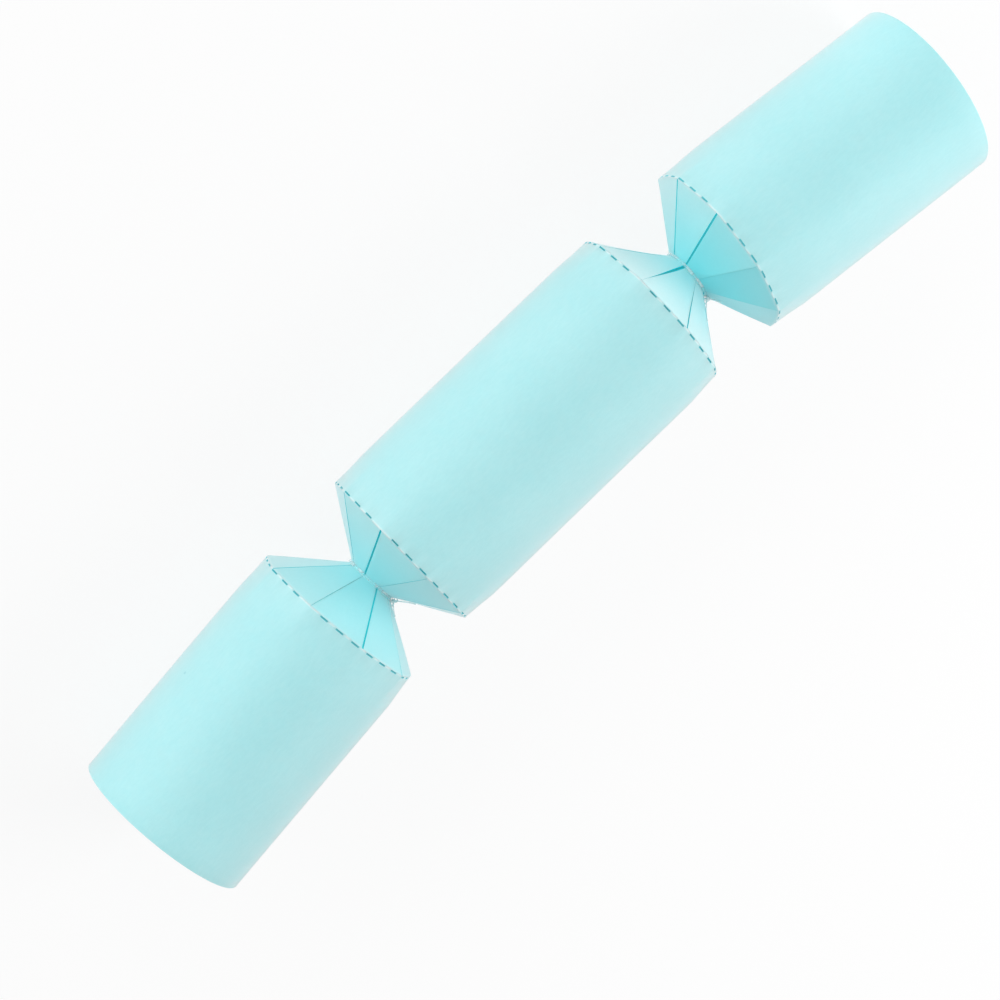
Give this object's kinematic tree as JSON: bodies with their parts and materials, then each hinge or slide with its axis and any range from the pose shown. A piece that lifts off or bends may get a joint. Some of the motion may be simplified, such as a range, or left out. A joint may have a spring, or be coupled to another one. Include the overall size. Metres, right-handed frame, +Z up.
{
  "type": "christmas cracker",
  "caption": "Card party cracker with a rolled barrel, open end tubes, slit necks tied in with clear thread, a pull-apart snap and loose favours inside.",
  "frame": {"origin": "on the table, under the middle of the barrel", "axes": "+X along the barrel to its right end, +Z up; both ends lean 7.1 degrees towards -Y"},
  "size_m": [0.2583, 0.0542, 0.045],
  "materials": {
    "card": "matte aqua card",
    "thread": "clear nylon",
    "tape": "double-sided tape",
    "snap_card": "grey-buff board",
    "sleeve_paper": "thin white paper",
    "snap_charge": "dried grit",
    "tissue": "rolled tissue",
    "motto_paper": "plain slip",
    "painted_wood": "lacquered beech",
    "plain_wood": "bare beech"
  },
  "bodies": {
    "barrel": {"barrel_tube": "card", "barrel_seam_tape": "tape"},
    "left_neck": {"left_inner_strips": "card", "left_snap_strip": "snap_card", "snap_charge": "snap_charge", "snap_sleeve": "sleeve_paper"},
    "left_waist": {"left_tie": "thread"},
    "left_end": {"left_outer_strips": "card", "left_end_tube": "card", "left_end_seam_tape": "tape"},
    "right_neck": {"right_inner_strips": "card", "right_snap_strip": "snap_card", "snap_grit": "snap_charge"},
    "right_waist": {"right_tie": "thread"},
    "right_end": {"right_outer_strips": "card", "right_end_tube": "card", "right_end_seam_tape": "tape"},
    "hat": {"paper_hat": "tissue"},
    "motto": {"motto_slip": "motto_paper"},
    "top": {"top_disc": "painted_wood", "top_peg": "plain_wood"}
  },
  "joints": [
    {"name": "left_pull", "type": "slide", "parent": "barrel", "child": "left_neck", "axis": [-1, 0, 0], "range_m": [0, 0.09]},
    {"name": "left_neck_sway", "type": "hinge", "parent": "left_neck", "child": "left_waist", "pos_m": [-0.05095, 0, 0.0225], "axis": [0, 0, 1], "range_deg": [-27.1, 12.9], "deforming": ["left_inner_strips"]},
    {"name": "left_neck_nod", "type": "hinge", "parent": "left_waist", "child": "left_end", "pos_m": [-0.05095, 0, 0.0225], "axis": [-0.1236, 0.9923, 0], "range_deg": [-20, 20], "deforming": ["left_outer_strips"]},
    {"name": "right_pull", "type": "slide", "parent": "barrel", "child": "right_neck", "axis": [1, 0, 0], "range_m": [0, 0.09]},
    {"name": "right_neck_sway", "type": "hinge", "parent": "right_neck", "child": "right_waist", "pos_m": [0.05275, 0, 0.0225], "axis": [0, 0, 1], "range_deg": [-12.9, 27.1], "deforming": ["right_inner_strips"]},
    {"name": "right_neck_nod", "type": "hinge", "parent": "right_waist", "child": "right_end", "pos_m": [0.05275, 0, 0.0225], "axis": [-0.1236, -0.9923, 0], "range_deg": [-20, 20], "deforming": ["right_outer_strips"]},
    {"name": "hat_rattle", "type": "slide", "parent": "barrel", "child": "hat", "axis": [1, 0, 0], "range_m": [-0.009, 0.009]},
    {"name": "motto_rattle", "type": "slide", "parent": "barrel", "child": "motto", "axis": [1, 0, 0], "range_m": [-0.015, 0.015]},
    {"name": "top_rattle", "type": "slide", "parent": "barrel", "child": "top", "axis": [1, 0, 0], "range_m": [-0.033, 0.026]}
  ]
}
